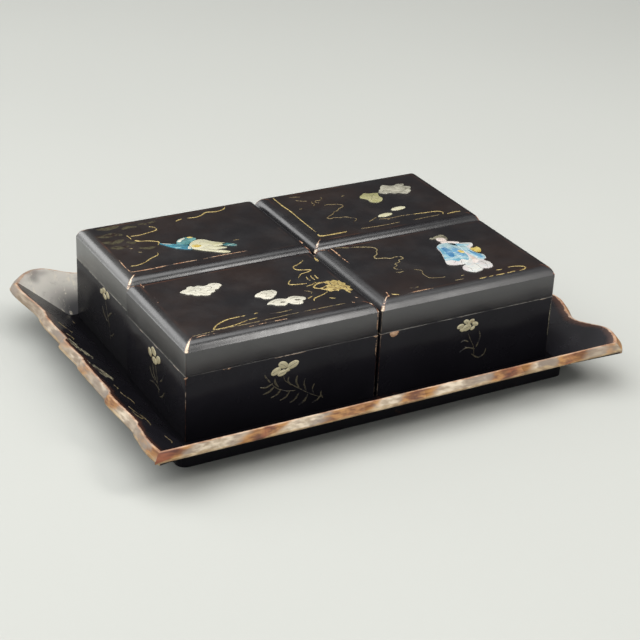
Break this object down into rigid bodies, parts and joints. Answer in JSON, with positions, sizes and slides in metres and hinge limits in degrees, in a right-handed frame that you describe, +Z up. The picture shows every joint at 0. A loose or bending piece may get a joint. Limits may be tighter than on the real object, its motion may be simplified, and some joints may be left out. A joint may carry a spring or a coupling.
{
  "type": "games box",
  "caption": "Lacquered games box: lidded counter boxes standing in a shallow tray with canted, lobed sides and a low plinth, with shell inlay on the lids.",
  "frame": {"origin": "centre of the footprint, on the surface the plinth stands on", "axes": "+X along the long side of the tray to the right, +Y from the front side to the back side, +Z up"},
  "size_m": [0.3222, 0.2465, 0.0744],
  "materials": {
    "lacquer": "black lacquer over wood, semi-gloss, rubbed at the edges",
    "lid_lacquer": "brown-black lacquer over wood, semi-gloss",
    "rim_lacquer": "black lacquer inside and below, worn gold-brown lacquer on the rim edge",
    "pearl": "cream mother-of-pearl, polished",
    "tinted_pearl": "mother-of-pearl backed with blue, green and yellow, polished",
    "gold_lacquer": "thin line of gold powder on lacquer, slightly raised"
  },
  "bodies": {
    "tray": {"tray_floor": "lacquer", "tray_side_front": "rim_lacquer", "tray_side_right": "rim_lacquer", "tray_side_back": "rim_lacquer", "tray_side_left": "rim_lacquer", "plinth_front": "lacquer", "plinth_right": "lacquer", "plinth_back": "lacquer", "plinth_left": "lacquer"},
    "front_left_box": {"front_left_box_floor": "lacquer", "front_left_box_wall_front": "lacquer", "front_left_box_wall_right": "lacquer", "front_left_box_wall_back": "lacquer", "front_left_box_wall_left": "lacquer", "front_left_box_lip": "lacquer"},
    "front_left_lid": {"front_left_lid_rail_front": "lacquer", "front_left_lid_rail_right": "lacquer", "front_left_lid_rail_back": "lacquer", "front_left_lid_rail_left": "lacquer", "front_left_lid_top": "lid_lacquer", "inlay_cloud_long": "pearl", "inlay_cloud_small": "pearl", "inlay_cloud_looped": "pearl"},
    "front_right_box": {"front_right_box_floor": "lacquer", "front_right_box_wall_front": "lacquer", "front_right_box_wall_right": "lacquer", "front_right_box_wall_back": "lacquer", "front_right_box_wall_left": "lacquer", "front_right_box_lip": "lacquer"},
    "front_right_lid": {"front_right_lid_rail_front": "lacquer", "front_right_lid_rail_right": "lacquer", "front_right_lid_rail_back": "lacquer", "front_right_lid_rail_left": "lacquer", "front_right_lid_top": "lid_lacquer", "inlay_robed_figure": "tinted_pearl"},
    "back_left_box": {"back_left_box_floor": "lacquer", "back_left_box_wall_front": "lacquer", "back_left_box_wall_right": "lacquer", "back_left_box_wall_back": "lacquer", "back_left_box_wall_left": "lacquer", "back_left_box_lip": "lacquer"},
    "back_left_lid": {"back_left_lid_rail_front": "lacquer", "back_left_lid_rail_right": "lacquer", "back_left_lid_rail_back": "lacquer", "back_left_lid_rail_left": "lacquer", "back_left_lid_top": "lid_lacquer", "inlay_bird": "tinted_pearl"},
    "back_right_box": {"back_right_box_floor": "lacquer", "back_right_box_wall_front": "lacquer", "back_right_box_wall_right": "lacquer", "back_right_box_wall_back": "lacquer", "back_right_box_wall_left": "lacquer", "back_right_box_lip": "lacquer"},
    "back_right_lid": {"back_right_lid_rail_front": "lacquer", "back_right_lid_rail_right": "lacquer", "back_right_lid_rail_back": "lacquer", "back_right_lid_rail_left": "lacquer", "back_right_lid_top": "lid_lacquer", "inlay_cartouche": "pearl", "inlay_leaf": "pearl"}
  },
  "joints": [
    {"name": "front_left_box_lift", "type": "slide", "parent": "tray", "child": "front_left_box", "axis": [0, 0, 1], "range_m": [0, 0.09]},
    {"name": "front_left_lid_lift", "type": "slide", "parent": "front_left_box", "child": "front_left_lid", "axis": [0, 0, 1], "range_m": [0, 0.06]},
    {"name": "front_right_box_lift", "type": "slide", "parent": "tray", "child": "front_right_box", "axis": [0, 0, 1], "range_m": [0, 0.09]},
    {"name": "front_right_lid_lift", "type": "slide", "parent": "front_right_box", "child": "front_right_lid", "axis": [0, 0, 1], "range_m": [0, 0.06]},
    {"name": "back_left_box_lift", "type": "slide", "parent": "tray", "child": "back_left_box", "axis": [0, 0, 1], "range_m": [0, 0.09]},
    {"name": "back_left_lid_lift", "type": "slide", "parent": "back_left_box", "child": "back_left_lid", "axis": [0, 0, 1], "range_m": [0, 0.06]},
    {"name": "back_right_box_lift", "type": "slide", "parent": "tray", "child": "back_right_box", "axis": [0, 0, 1], "range_m": [0, 0.09]},
    {"name": "back_right_lid_lift", "type": "slide", "parent": "back_right_box", "child": "back_right_lid", "axis": [0, 0, 1], "range_m": [0, 0.06]}
  ]
}
